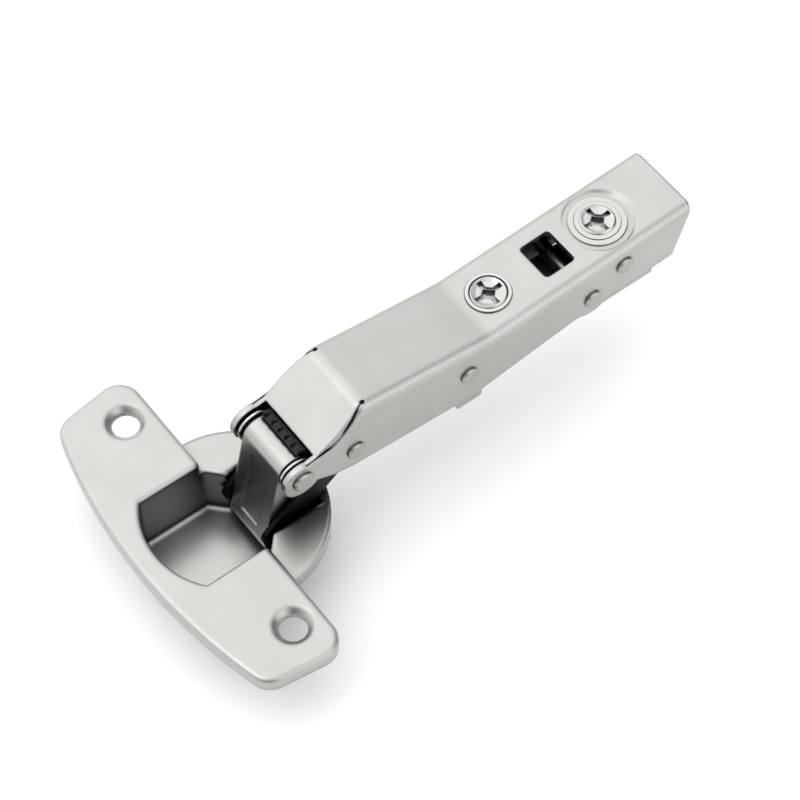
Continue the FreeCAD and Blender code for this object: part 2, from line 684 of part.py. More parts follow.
def make_arm():
    """Folded sheet arm: a steep nose tab between two slits, a sloping middle and a flat rear, open below."""
    body = new_body("hinge_arm")
    side = new_sketch(body, "arm_side", "XZ_Plane")
    top_line = [("tab_x", "tab_z"), ("crest_one_x", "crest_one_z"), ("crest_two_x", "crest_two_z"),
                ("waist_one_x", "waist_one_z"), ("waist_two_x", "waist_two_z"), ("tail_x", "tail_z")]
    outline(side, top_line + [
        ("tail_low_x", "tail_low_z"), ("belly_rear_x", "belly_rear_z"), ("belly_low_x", "belly_low_z"),
        ("belly_front_x", "belly_front_z"), ("throat_x", "throat_z"), ("nose_pin_x", "nose_pin_z - 1"),
        ("nose_pin_x + 0.9", "nose_pin_z + nose_lobe - 0.2")], {1: ("crest_radius", 1), 3: ("waist_radius", -1)})
    pad(body, side, "2 * arm_half")
    for name, x, z, radius in (("nose_lobe_disc", "nose_pin_x", "nose_pin_z", "nose_lobe"),
                               ("rear_lobe_disc", "guide_pin_x", "guide_pin_z", "pin_lobe")):
        lobe = new_sketch(body, name, "XZ_Plane")
        circle(lobe, (x, z), radius)
        pad(body, lobe, "2 * arm_half")

    def top_edge(edge):
        a, b = ends(edge)
        outside = all(abs(abs(p.y) - size("arm_half")) < 1e-6 for p in (a, b))
        spots = [(size(x), size(z)) for x, z in top_line]
        on_top = all(any(abs(p.x - x) + abs(p.z - z) < 1e-5 for x, z in spots) for p in (a, b))
        return outside and on_top and abs(a.x - b.x) > 0.3
    round_edges(body, "arm_bends", "arm_bend_radius", top_edge)

    room = new_sketch(body, "arm_inside", "XZ_Plane")
    outline(room, [("nose_pin_x - 12", "belly_low_z - 10"), ("nose_pin_x - 12", "crest_z + 4"),
                   ("tab_x", "crest_z + 4"), ("tab_x", "tab_in_z"), ("crest_in_x", "crest_in_z"),
                   ("waist_in_x", "waist_in_z"), ("dish_in_front", "dish_low"), ("dish_in_rear - 0.5", "dish_low"),
                   ("dish_in_rear", "waist_in_z + (dish_in_rear - waist_in_x) * tan(tail_tilt)"),
                   ("tail_x + 5", "tail_z + 5 * tan(tail_tilt) - arm_sheet / cos(tail_tilt)"),
                   ("tail_x + 5", "belly_low_z - 10")])
    pocket(body, room, "2 * arm_inner")
    inside_top = lambda e: (all(abs(abs(v.Point.y) - size("arm_inner")) < 1e-6 for v in e.Vertexes)
                            and abs(ends(e)[0].x - ends(e)[1].x) > 5 and min(v.Point.z for v in e.Vertexes) > 14)
    round_edges(body, "inner_bends", "inner_bend_radius", inside_top)

    root = "(tab_length - tab_root_gap)"
    edge = [("0", "tab_half"), (f"0.22 * {root}", "tab_half + 0.05 * tab_taper"),
            (f"0.43 * {root}", "tab_half + 0.1 * tab_taper"), (f"0.71 * {root}", "tab_half - 0.17 * tab_taper"),
            ("tab_length - crest_run", "tab_half - 0.56 * tab_taper"), (root, "tab_half - tab_taper")]
    plate = new_tab_sketch(body, "tab_plate_outline", "0")
    outline(plate, edge[:-1] + [(x, f"-({y})") for x, y in edge[-2::-1]])
    pad(body, plate, "tab_plate", midplane=False, flip=True)
    for side_name, sign in (("near", "-"), ("far", "")):
        slit = new_tab_sketch(body, side_name + "_slit", "1")
        inner = [("-4", "tab_half")] + edge
        outer = [(x, f"({y}) + slit_width") for x, y in inner]
        ring = [(x, f"{sign}({y})") for x, y in inner + outer[::-1]]
        outline(slit, ring)
        pocket(body, slit, "slit_depth + 1", midplane=False)
        end = new_tab_sketch(body, side_name + "_slit_end", "1")
        circle(end, (root, f"{sign}(tab_half - tab_taper + slit_width / 2)"), "slit_end_radius")
        pocket(body, end, "slit_depth + 1", midplane=False)

    holes = new_sketch(body, "rivet_holes", "XZ_Plane")
    circle(holes, ("nose_pin_x", "nose_pin_z"), "nose_pin_radius")
    circle(holes, ("link_pin_x", "link_pin_z"), "link_pin_radius")
    for pin in ("hook_pin", "guide_pin", "tail_pin"):
        circle(holes, (pin + "_x", pin + "_z"), "rivet_radius")
    pocket(body, holes, "2 * arm_half + 2")

    hole = new_tilted_sketch(body, "collar_hole", "side_screw_x", "side_screw_z + 1")
    circle(hole, ("-sin(tail_tilt)", "0"), "collar_radius")
    pocket(body, hole, "arm_sheet + 3", midplane=False)
    dish = new_sketch(body, "cam_dish", "XZ_Plane")
    dish.setExpression("AttachmentOffset.Base.x", bound("cam_x"))
    outline(dish, [("0", "cam_z"), ("dish_radius", "cam_z"), ("dish_radius + 0.9", "cam_z + 0.7"),
                   ("dish_radius + 1.3", "cam_z + 1.8"), ("0", "cam_z + 1.8")])
    groove(body, dish)
    hole = new_sketch(body, "cam_hole", "XY_Plane", "cam_z + 1")
    circle(hole, ("cam_x", "0"), "cam_stem_radius + running_gap")
    pocket(body, hole, "arm_sheet + 3", midplane=False)

    window = new_sketch(body, "window", "XY_Plane", "tail_z + 1")
    outline(window, [("window_front", "-window_half"), ("window_rear", "-window_half"),
                     ("window_rear", "window_half"), ("window_front", "window_half")])
    pocket(body, window, "arm_sheet + 4", midplane=False)
    round_edges(body, "window_corners", "window_corner",
                lambda e: along_z(e) and abs(abs(ends(e)[0].y) - size("window_half")) < 1e-6)
    return body


def make_arm_pins():
    """The five pins riveted in the arm, and the spacers beside the roll on the nose pin."""
    make_rivet("nose_pin", "nose_pin_x", "nose_pin_z", "nose_pin_radius", "nose_head_radius")
    make_rivet("link_pin", "link_pin_x", "link_pin_z", "link_pin_radius", "rivet_head_radius")
    for name in ("hook_pin", "guide_pin", "tail_pin"):
        make_rivet(name, name + "_x", name + "_z", "rivet_radius", "rivet_head_radius")
    inner, outer = "nose_pin_radius", "nose_pin_radius + 1"
    for side, sign in (("left", ""), ("right", "-")):
        turned_pin(f"{side}_spacer", ("nose_pin_x", "0", "nose_pin_z"),
                   [(inner, f"{sign}(outer_link_half + 0.1)"), (outer, f"{sign}(outer_link_half + 0.1)"),
                    (outer, f"{sign}arm_inner"), (inner, f"{sign}arm_inner")])


def cross_recess(body, name, top):
    """Cuts a cross recess with a square core into the top of a screw."""
    w, s, c = "recess_width / 2", "recess_span", "recess_core"
    quarter = [(f"({w})", s), (f"({w})", c), (c, f"({w})"), (s, f"({w})")]
    points = []
    for turn in range(4):
        for x, y in quarter:
            points.append([(x, y), (y, f"-{x}"), (f"-{x}", f"-{y}"), (f"-{y}", x)][turn])
    sketch = new_sketch(body, name, "XY_Plane", f"{top} + 1")
    outline(sketch, points)
    pocket(body, sketch, "recess_depth + 1", midplane=False)
    core = new_sketch(body, name + "_core", "XY_Plane", f"{top} + 1")
    reach = "core_span"
    outline(core, [(reach, "0"), ("0", f"-{reach}"), (f"-{reach}", "0"), ("0", reach)])
    pocket(body, core, "core_depth + 1", midplane=False)


def make_screws():
    """Side screw in its riveted collar, and the depth cam screw in its ring, square to the arm's rear."""
    place = ("side_screw_x", "0", "side_screw_z")
    screw = new_body("side_screw", place, "tail_tilt")
    neck_top = "carrier_top + neck_room - side_screw_z"
    neck_low = "web_low - neck_room - side_screw_z"
    profile = new_sketch(screw, "side_screw_profile", "XZ_Plane")
    outline(profile, [("0", "side_head_height - 0.5"), ("side_head_radius - 1.3", "side_head_height - 0.35"),
                      ("side_head_radius - 0.35", "side_head_height"), ("side_head_radius", "side_head_height - 0.3"),
                      ("side_head_radius", "-side_head_sink"), ("side_thread_radius", "-side_head_sink"),
                      ("side_thread_radius", neck_top), ("side_neck_radius", neck_top),
                      ("side_neck_radius", neck_low), ("side_foot_radius", neck_low),
                      ("side_foot_radius", "side_foot_low - side_screw_z"), ("0", "side_foot_low - side_screw_z")])
    revolve(screw, profile)
    cross_recess(screw, "side_recess", "side_head_height - 0.35")

    collar = new_body("side_screw_collar", place, "tail_tilt")
    ring = new_sketch(collar, "collar_profile", "XZ_Plane")
    seat = "-(side_head_sink + running_gap)"
    outline(ring, [("side_thread_radius + running_gap", "-arm_sheet"), ("collar_radius", "-arm_sheet"),
                   ("collar_radius", "collar_height"), ("side_head_radius + running_gap", "collar_height"),
                   ("side_head_radius + running_gap", seat), ("side_thread_radius + running_gap", seat)])
    revolve(collar, ring)

    place = ("cam_x", "0", "cam_z")
    cam = new_body("depth_cam_screw", place)
    profile = new_sketch(cam, "cam_profile", "XZ_Plane")
    stem_low = "block_top + 0.3 - cam_z"
    outline(profile, [("0", "cam_head_height - 0.35"), ("cam_head_radius - 0.9", "cam_head_height - 0.2"),
                      ("cam_head_radius - 0.3", "cam_head_height"), ("cam_head_radius", "cam_head_height - 0.25"),
                      ("cam_head_radius", "cam_step_height"), ("cam_step_radius", "cam_step_height"),
                      ("cam_step_radius", "running_gap"), ("cam_stem_radius", "running_gap"),
                      ("cam_stem_radius", stem_low), ("0", stem_low)])
    revolve(cam, profile)
    cross_recess(cam, "cam_recess", "cam_head_height - 0.2")

    washer = new_body("depth_cam_ring", place)
    ring = new_sketch(washer, "cam_ring_profile", "XZ_Plane")
    inner = "cam_step_radius + 0.05"
    outline(ring, [(inner, "0"), ("cam_ring_radius", "0"), ("cam_ring_radius - 0.15", "cam_ring_height"),
                   (inner, "cam_ring_height")])
    revolve(washer, ring)


def make_carrier():
    """Channel that hooks on the mounting plate at the front and carries the release catch at the rear."""
    body = new_body("clip_carrier")
    side = new_sketch(body, "carrier_side", "XZ_Plane")
    outline(side, [("carrier_front", "front_ear_top"), ("front_ear_rear", "front_ear_top"),
                   ("front_ear_rear", "carrier_top"), ("ear_front", "carrier_top"), ("ear_front", "ear_top"),
                   ("carrier_rear - 1.4", "ear_top"), ("carrier_rear", "ear_top - 1.4"),
                   ("carrier_rear", "carrier_low"), ("hook_rear + 1.2", "carrier_low"),
                   ("hook_rear", "carrier_low - 1.2"), ("hook_rear", "hook_low"), ("hook_front", "hook_low"),
                   ("hook_front", "carrier_low - 1.2"), ("carrier_front", "carrier_low + 2.4")])
    pad(body, side, "2 * carrier_half")
    above = new_sketch(body, "carrier_above", "XZ_Plane")
    outline(above, [("carrier_front - 1", "front_ear_top + 1"), ("carrier_rear + 1", "front_ear_top + 1"),
                    ("carrier_rear + 1", "carrier_top"), ("web_front", "carrier_top"), ("web_front", "web_low"),
                    ("carrier_rear + 1", "web_low"), ("carrier_rear + 1", "hook_low - 1"),
                    ("carrier_front - 1", "hook_low - 1")])
    pocket(body, above, "2 * carrier_inner")
    slots = new_sketch(body, "carrier_slots", "XZ_Plane")
    long_hole(slots, ("hook_pin_x", "hook_pin_z"), "depth_travel + 0.1", "rivet_radius + hook_pin_swing")
    circle(slots, ("carrier_axle_x", "carrier_axle_z"), "carrier_axle_radius + running_gap")
    circle(slots, ("catch_axle_x", "catch_axle_z"), "catch_axle_radius")
    pocket(body, slots, "2 * carrier_half + 2")
    notch = new_sketch(body, "hook_notch", "XZ_Plane")
    outline(notch, [("hook_rear + 1", "hook_low + 1.9"), ("hook_rear - 1.3", "hook_low + 1.9"),
                    ("hook_rear - 1.3", "hook_low + 2.5"), ("hook_rear + 1", "hook_low + 2.5")])
    pocket(body, notch, "2 * carrier_half + 2")
    neck = new_sketch(body, "neck_slot", "XY_Plane", "carrier_top + 1")
    long_hole(neck, ("neck_x", "0"), "depth_travel + 0.1", "side_neck_radius + 0.25")
    pocket(body, neck, "carrier_sheet + 2", midplane=False)
    corner = lambda e: (abs(ends(e)[0].y - ends(e)[1].y) > 0.5 and abs(ends(e)[0].x - ends(e)[1].x) < 1e-6
                        and lies_at(e, size("hook_low")))
    round_edges(body, "hook_corners", "0.7", corner)
    return body


def make_slide_block():
    """Block that the depth cam moves along the arm; it is guided on the tail pin and carries the carrier."""
    body = new_body("slide_block")
    side = new_sketch(body, "block_side", "XZ_Plane")
    outline(side, [("block_front", "block_low"), ("block_rear", "block_low"), ("block_rear", "block_top - 0.8"),
                   ("block_rear - 0.8", "block_top"), ("block_front - block_lip", "block_top"),
                   ("block_front - block_lip", "block_lip_low"), ("block_front", "block_lip_low")])
    pad(body, side, "2 * block_half")
    slots = new_sketch(body, "block_slots", "XZ_Plane")
    long_hole(slots, ("tail_pin_x", "tail_pin_z"), "depth_travel + 0.1", "rivet_radius + running_gap")
    circle(slots, ("carrier_axle_x", "carrier_axle_z"), "carrier_axle_radius")
    pocket(body, slots, "2 * block_half + 2")
    half = "carrier_half"
    turned_pin("carrier_axle", ("carrier_axle_x", "0", "carrier_axle_z"),
               [("0", f"-{half}"), ("carrier_axle_radius", f"-{half}"), ("carrier_axle_radius", half), ("0", half)])
    return body


def make_catch():
    """Sprung release catch under the carrier's rear, with its own axle and a leaf spring."""
    body = new_body("release_catch")
    side = new_sketch(body, "catch_side", "XZ_Plane")
    x, z = "catch_axle_x", "catch_axle_z"
    outline(side, [("catch_nose", "catch_low"), ("catch_nose + 1.4", "catch_low"), ("catch_nose + 2.2", f"{z} - 1.6"),
                   (f"{x} + 2", f"{z} - 1.7"), ("catch_rear", f"{z} - 0.9"), ("catch_rear", f"{z} + 0.1"),
                   (f"{x} + 2.4", f"{z} + 1"), ("catch_nose + 0.4", f"{z} + 1"), ("catch_nose", f"{z} + 0.6")])
    pad(body, side, "2 * catch_half")
    eye = new_sketch(body, "catch_eye", "XZ_Plane")
    circle(eye, (x, z), "catch_axle_radius + running_gap")
    pocket(body, eye, "2 * catch_half + 2")
    half = "carrier_half"
    turned_pin("catch_axle", (x, "0", z),
               [("0", f"-{half}"), ("catch_axle_radius", f"-{half}"), ("catch_axle_radius", half), ("0", half)])
    leaf = new_body("catch_spring")
    strip = new_sketch(leaf, "leaf_side", "XZ_Plane")
    outline(strip, [(f"{x} - 3.6", "web_low"), (f"{x} - 2.6", "web_low"), (f"{x} + 2.2", f"{z} + 1.3"),
                    (f"{x} + 2.2", f"{z} + 1.05"), (f"{x} + 1.9", f"{z} + 1.05"), (f"{x} - 2.9", "web_low - 0.25"),
                    (f"{x} - 3.6", "web_low - 0.25")])
    pad(leaf, strip, "3")
    return body


def make_damper():
    """Ribbed plastic housing in the nose, and the damper's cylinder and piston rod behind it."""
    body = new_body("damper_housing")
    under = lambda x: (x, f"tab_in_z + ({x} - tab_x) * tan(tab_slope) - 0.25")
    rest = "nose_pin_z + roll_radius"
    side = new_sketch(body, "housing_side", "XZ_Plane")
    clear = "roll_radius + 0.4"
    outline(side, [("nose_pin_x + 0.9", f"nose_pin_z + sqrt(({clear})^2 - 0.9^2)"),
                   ("nose_pin_x + 1.2", f"{rest} + 1.4"), ("tab_x - 0.35", f"{rest} + 0.6"),
                   ("tab_x - 0.2", "tab_in_z - 0.3"), under("link_pin_x - 1.2"),
                   ("link_pin_x - 1.2", "link_pin_z + link_pin_radius + 1"), ("nose_pin_x + 4.2", "nose_pin_z + 0.9"),
                   (f"nose_pin_x + sqrt(({clear})^2 - 0.7^2)", "nose_pin_z + 0.7")], {7: (clear, -1)})
    pad(body, side, "2 * housing_half")
    ribs = new_sketch(body, "rib_gaps", "YZ_Plane", "nose_pin_x - 1")
    pitch = "(rib_width + rib_gap)"
    for i in range(-2, 3):
        left, right = f"{i} * {pitch} - rib_gap / 2", f"{i} * {pitch} + rib_gap / 2"
        low, high = f"{rest} + 1.4 - rib_depth", f"{rest} + 3"
        outline(ribs, [(left, low), (right, low), (right, high), (left, high)])
    pocket(body, ribs, "tab_x - 0.7 - nose_pin_x + 1", midplane=False, flip=True)

    place = ("damper_front_x", "0", "damper_front_z")
    cylinder = new_body("damper_cylinder", place)
    rod = new_body("damper_rod", place)
    for part in (cylinder, rod):
        part.Placement = FreeCAD.Placement(part.Placement.Base, FreeCAD.Rotation(V(0, 1, 0), size("damper_tilt")))
        part.setExpression("Placement.Rotation.Angle", bound("damper_tilt"))
    barrel = new_sketch(cylinder, "barrel_profile", "YZ_Plane")
    circle(barrel, ("0", "0"), "damper_radius")
    pad(cylinder, barrel, "damper_length", midplane=False)
    mouth = new_sketch(cylinder, "barrel_mouth", "YZ_Plane")
    circle(mouth, ("0", "0"), "rod_radius + running_gap")
    pocket(cylinder, mouth, "damper_length - 1.5", midplane=False, flip=True)
    shaft = new_sketch(rod, "rod_profile", "YZ_Plane", "-rod_length")
    circle(shaft, ("0", "0"), "rod_radius")
    pad(rod, shaft, "rod_length + 4.5", midplane=False)
    tip = new_sketch(rod, "rod_tip", "YZ_Plane", "-rod_length")
    circle(tip, ("0", "0"), "rod_tip_radius")
    pad(rod, tip, "1", midplane=False)


def make_spring():
    """Closing spring between its seat on the hook pin and the plunger that bears on the inner link."""
    place = ("spring_front_x", "0", "spring_z")
    plunger = new_body("spring_plunger", place)
    for name, start, radius, length in (("plunger_head", "-1", "spring_radius + spring_wire", "1"),
                                        ("plunger_tip", "plunger_tip_x - spring_front_x", "plunger_tip_radius",
                                         "spring_front_x - plunger_tip_x"),
                                        ("plunger_guide", "-0.5", "plunger_tip_radius", "plunger_guide + 0.5")):
        sketch = new_sketch(plunger, name, "YZ_Plane", start)
        circle(sketch, ("0", "0"), radius)
        pad(plunger, sketch, length, midplane=False)

    coil = new_body("closing_spring", place)
    wire = new_sketch(coil, "wire_section", "XY_Plane")
    circle(wire, ("spring_wire", "spring_radius"), "spring_wire")
    helix = coil.newObject("PartDesign::AdditiveHelix", "spring_coil")
    helix.Profile = wire
    helix.ReferenceAxis = (wire, ["H_Axis"])
    helix.Mode = "height-turns-growth"
    helix.setExpression("Height", bound("spring_length - 2 * spring_wire"))
    helix.setExpression("Turns", bound("spring_turns"))
    settle(helix)

    seat = new_body("spring_seat")
    face = "spring_front_x + spring_length"
    plate = new_sketch(seat, "seat_plate", "XZ_Plane")
    outline(plate, [(face, "spring_z - 2.9"), (f"{face} + seat_sheet", "spring_z - 2.9"),
                    ("hook_pin_x + 0.6", "hook_pin_z - seat_eye + 0.1"), ("hook_pin_x - 0.6", "hook_pin_z + 0.4"),
                    (f"{face} + seat_sheet", "spring_z + 1.7"), (face, "spring_z + 1.7")])
    pad(seat, plate, "2 * block_half")
    eye = new_sketch(seat, "seat_eye", "XZ_Plane")
    circle(eye, ("hook_pin_x", "hook_pin_z"), "seat_eye")
    pad(seat, eye, "2 * block_half")
    hole = new_sketch(seat, "seat_hole", "XZ_Plane")
    circle(hole, ("hook_pin_x", "hook_pin_z"), "rivet_radius")
    pocket(seat, hole, "2 * block_half + 2")


def write_parts():
    """Checks every object and every shape, and writes each body as one STEP file named by its Label."""
    doc.recompute()
    for item in doc.Objects:
        if "Invalid" in item.State or "Error" in item.State:
            raise ValueError(f"{item.Label} did not build: {item.State}")
    os.makedirs("parts", exist_ok=True)
    for body in doc.Objects:
        if body.TypeId != "PartDesign::Body":
            continue
        if body.Shape.isNull() or not body.Shape.isValid() or not body.Shape.Solids:
            raise ValueError(f"{body.Label} has no valid solid")
        body.Shape.exportStep(f"parts/{body.Label}.step")
        print(f"{body.Label}: {len(body.Shape.Solids)} solid, {body.Shape.Volume:.1f} mm3")


fill_sheet()
make_cup()
make_cup_pins()
make_outer_link()
make_inner_link()
make_arm()
make_arm_pins()
make_screws()
make_carrier()
make_slide_block()
make_catch()
make_damper()
make_spring()
write_parts()
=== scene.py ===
import bpy
import math
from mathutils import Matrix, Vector


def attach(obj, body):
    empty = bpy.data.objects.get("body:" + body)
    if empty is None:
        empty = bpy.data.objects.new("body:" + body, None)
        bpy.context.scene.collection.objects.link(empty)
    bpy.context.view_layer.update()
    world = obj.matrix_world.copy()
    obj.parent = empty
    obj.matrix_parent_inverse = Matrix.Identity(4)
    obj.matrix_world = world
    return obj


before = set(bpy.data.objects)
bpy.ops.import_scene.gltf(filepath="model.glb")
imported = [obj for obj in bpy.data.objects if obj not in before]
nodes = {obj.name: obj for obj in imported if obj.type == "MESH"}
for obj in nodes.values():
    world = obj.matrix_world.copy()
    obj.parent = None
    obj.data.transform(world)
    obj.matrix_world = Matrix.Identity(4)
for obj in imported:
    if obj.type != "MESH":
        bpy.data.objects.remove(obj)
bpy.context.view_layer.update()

# Camera
# The view of a long lens from in front of the door and well above it, looking down
# on the open hinge so that the cup, the arm's top and its near side all show.
AZIMUTH = math.radians(-37.1)
ELEVATION = math.radians(57.1)
DISTANCE = 0.474
AIM = Vector((0.03724, 0.0, 0.00251))
SENSOR_MM = 36
LENS_PIXELS = 2600
FRAME_PIXELS = 800
NEAR_CLIP = 0.01
back = Vector((math.sin(AZIMUTH) * math.cos(ELEVATION), -math.cos(AZIMUTH) * math.cos(ELEVATION), math.sin(ELEVATION)))
bpy.ops.object.camera_add(location=AIM + back * DISTANCE, rotation=back.to_track_quat("Z", "Y").to_euler())
camera = bpy.context.object
camera.name = "photo_camera"
camera.data.sensor_width = SENSOR_MM
camera.data.lens = SENSOR_MM * LENS_PIXELS / FRAME_PIXELS
camera.data.clip_start = NEAR_CLIP
bpy.context.scene.camera = camera

# Pale sweep and studio light
# A matt white board under the cup and a soft white studio: brightest high behind the
# arm for the top faces, a low glow in front for its near bend, and one broad soft box.
FLOOR_SIZE = 60
FLOOR_HEIGHT = -0.0131
FLOOR_GLOW = 0.04
HIGH_GLOW_WAY = (-0.2, 0.6, 0.8)
FRONT_GLOW_WAY = (0.33, -0.85, 0.42)
BOX_PLACE = (-0.35, 0.1, 0.75)
BOX_AIM = (0.04, 0, 0)
BOX_SIZE = 0.4
BOX_WATTS = 0.6
bpy.context.scene.view_settings.view_transform = "Standard"


def linear(hex_colour):
    """The linear colour of an sRGB hex value."""
    parts = [int(hex_colour[i:i + 2], 16) / 255 for i in (1, 3, 5)]
    return tuple(c / 12.92 if c <= 0.04045 else ((c + 0.055) / 1.055) ** 2.4 for c in parts) + (1.0,)


def add_node(tree, kind, settings=None, links=None):
    """Adds a shader node, sets its inputs or properties by name, and links inputs to other nodes' outputs."""
    node = tree.nodes.new(kind)
    for name, value in (settings or {}).items():
        if name in node.inputs:
            node.inputs[name].default_value = value
        else:
            setattr(node, name, value)
    for name, output in (links or {}).items():
        tree.links.new(output, node.inputs[name])
    return node


def new_material(name, base, roughness, metallic=0.0):
    """A material with its Principled shader's uniform values set on the shader's own sockets."""
    material = bpy.data.materials.new(name)
    material.use_nodes = True
    shader = material.node_tree.nodes["Principled BSDF"]
    shader.inputs["Base Color"].default_value = linear(base)
    shader.inputs["Roughness"].default_value = roughness
    shader.inputs["Metallic"].default_value = metallic
    return material, material.node_tree, shader


bpy.ops.object.select_all(action="DESELECT")
bpy.ops.mesh.primitive_plane_add(size=FLOOR_SIZE, location=(0, 0, FLOOR_HEIGHT))
floor = bpy.context.object
floor.name = "pale_floor"
floor_paper, tree, shader = new_material("matt_white_board", "#F4F4F3", 0.9)
shader.inputs["Emission Color"].default_value = (1, 1, 1, 1)
shader.inputs["Emission Strength"].default_value = FLOOR_GLOW
floor.data.materials.append(floor_paper)

world = bpy.data.worlds.new("studio_white")
world.use_nodes = True
tree = world.node_tree
heading = add_node(tree, "ShaderNodeTexCoord").outputs["Generated"]
lean = add_node(tree, "ShaderNodeVectorMath", {"operation": "DOT_PRODUCT"}, {"Vector": heading})
lean.inputs[1].default_value = HIGH_GLOW_WAY
glow = add_node(tree, "ShaderNodeMapRange", {"From Min": 0.1, "From Max": 0.88, "To Min": 0.25, "To Max": 1.85},
                {"Value": lean.outputs["Value"]})
front = add_node(tree, "ShaderNodeVectorMath", {"operation": "DOT_PRODUCT"}, {"Vector": heading})
front.inputs[1].default_value = FRONT_GLOW_WAY
sheen = add_node(tree, "ShaderNodeMapRange", {"From Min": 0.72, "From Max": 0.97, "To Min": 0.0, "To Max": 1.5},
                 {"Value": front.outputs["Value"]})
both = add_node(tree, "ShaderNodeMath", {"operation": "ADD"})
tree.links.new(glow.outputs["Result"], both.inputs[0])
tree.links.new(sheen.outputs["Result"], both.inputs[1])
tree.links.new(both.outputs["Value"], tree.nodes["Background"].inputs["Strength"])
tree.nodes["Background"].inputs["Color"].default_value = linear("#FFFFFF")
bpy.context.scene.world = world

bpy.ops.object.light_add(type="AREA", location=BOX_PLACE)
key_box = bpy.context.object
key_box.name = "key_box"
key_box.data.shape = "RECTANGLE"
key_box.data.size = BOX_SIZE
key_box.data.size_y = BOX_SIZE
key_box.data.energy = BOX_WATTS
key_box.rotation_euler = (Vector(BOX_PLACE) - Vector(BOX_AIM)).to_track_quat("Z", "Y").to_euler()

# Pressed and folded sheet: outer link, arm, carrier, catch, spring seat and damper tube
# Cold-rolled steel sheet, pressed or folded, barrel-plated with satin nickel: a warm
# pale grey metal with a soft sheen, slightly cloudy, its grain a few tenths of a mm.
SHEET_NODES = ["outer_link", "hinge_arm", "clip_carrier", "release_catch", "spring_seat", "damper_cylinder"]
SHEET_NICKEL = "#B0AFAD"
SHEET_CLOUD = "#A9A8A5"
CLOUD_MM = 9


def plated(name, base, cloud, roughness, spread, grain_mm, grain_depth_mm, edge_mm=0.3, recess_mm=9, deepest=0.25):
    """Plated steel: cloudy colour and gloss, painted shade that darkens the colour in recesses, tumbled edges and a
    fine grain.
    """
    material, tree, shader = new_material(name, base, roughness, metallic=1.0)
    place = add_node(tree, "ShaderNodeTexCoord").outputs["Object"]
    clouds = add_node(tree, "ShaderNodeTexNoise", {"Scale": 1000 / CLOUD_MM, "Detail": 3.0, "Roughness": 0.55},
                      {"Vector": place})
    tint = add_node(tree, "ShaderNodeValToRGB", links={"Fac": clouds.outputs["Fac"]})
    tint.color_ramp.elements[0].position = 0.3
    tint.color_ramp.elements[0].color = linear(cloud)
    tint.color_ramp.elements[1].position = 0.7
    tint.color_ramp.elements[1].color = linear(base)
    # Painted shade: ambient occlusion darkens the base colour where other surfaces lie near, in recesses and under
    # other parts.
    recess = add_node(tree, "ShaderNodeAmbientOcclusion", {"samples": 6, "Distance": recess_mm / 1000})
    painted_recess_shade = add_node(tree, "ShaderNodeMapRange", {"From Min": 0.15, "From Max": 0.75, "To Min": deepest},
                    {"Value": recess.outputs["AO"]})
    shaded_tint = add_node(tree, "ShaderNodeVectorMath", {"operation": "SCALE"},
                    {"Vector": tint.outputs["Color"], "Scale": painted_recess_shade.outputs["Result"]})
    tree.links.new(shaded_tint.outputs["Vector"], shader.inputs["Base Color"])
    gloss = add_node(tree, "ShaderNodeMapRange", {"To Min": roughness - spread, "To Max": roughness + spread},
                     {"Value": clouds.outputs["Fac"]})
    tree.links.new(gloss.outputs["Result"], shader.inputs["Roughness"])
    grain = add_node(tree, "ShaderNodeTexNoise", {"Scale": 1000 / grain_mm, "Detail": 2.0}, {"Vector": place})
    tumbled = add_node(tree, "ShaderNodeBevel", {"samples": 6, "Radius": edge_mm / 1000})
    bump = add_node(tree, "ShaderNodeBump", {"Strength": 0.5, "Distance": grain_depth_mm / 1000},
                    {"Height": grain.outputs["Fac"], "Normal": tumbled.outputs["Normal"]})
    tree.links.new(bump.outputs["Normal"], shader.inputs["Normal"])
    return material


def dress(names, material):
    """Gives each of the nodes the material in place of its packed one."""
    for name in names:
        data = nodes[name].data
        data.materials.clear()
        data.materials.append(material)


dress(SHEET_NODES, plated("satin_nickel_plate", SHEET_NICKEL, SHEET_CLOUD, 0.3, 0.03, 0.35, 0.003, edge_mm=0.5))

# Drawn cup
# Deep-drawn from the same plated sheet: its flange keeps the satin colour, while the walls
# of the well get a painted shade that makes them much darker.
WELL_FULL = 0.0166
WELL_END = 0.0169
INWARD_FULL = -0.0015
WALL_SHADE = 0.4
drawn = plated("drawn_nickel_cup", SHEET_NICKEL, SHEET_CLOUD, 0.3, 0.03, 0.35, 0.003, edge_mm=1.2)
tree = drawn.node_tree
shader = tree.nodes["Principled BSDF"]
# painted shade where a face stands upright, lies within the well's radius and looks inward
coordinates = add_node(tree, "ShaderNodeTexCoord")
spot = add_node(tree, "ShaderNodeSeparateXYZ", links={"Vector": coordinates.outputs["Object"]})
facing = add_node(tree, "ShaderNodeSeparateXYZ", links={"Vector": coordinates.outputs["Normal"]})
upright = add_node(tree, "ShaderNodeMapRange", {"From Min": 0.3, "From Max": 0.8, "To Min": 1.0, "To Max": 0.0},
                   {"Value": facing.outputs["Z"]})
flat = add_node(tree, "ShaderNodeCombineXYZ", links={"X": spot.outputs["X"], "Y": spot.outputs["Y"]})
reach = add_node(tree, "ShaderNodeVectorMath", {"operation": "LENGTH"}, {"Vector": flat.outputs["Vector"]})
inside = add_node(tree, "ShaderNodeMapRange",
                  {"From Min": WELL_FULL, "From Max": WELL_END, "To Min": 1.0, "To Max": 0.0},
                  {"Value": reach.outputs["Value"]})
away = add_node(tree, "ShaderNodeVectorMath", {"operation": "DOT_PRODUCT"}, {"Vector": coordinates.outputs["Normal"]})
tree.links.new(flat.outputs["Vector"], away.inputs[1])
inward = add_node(tree, "ShaderNodeMapRange",
                  {"From Min": INWARD_FULL, "From Max": 0.0, "To Min": 1.0, "To Max": 0.0},
                  {"Value": away.outputs["Value"]})
well = add_node(tree, "ShaderNodeMath", {"operation": "MULTIPLY"})
tree.links.new(upright.outputs["Result"], well.inputs[0])
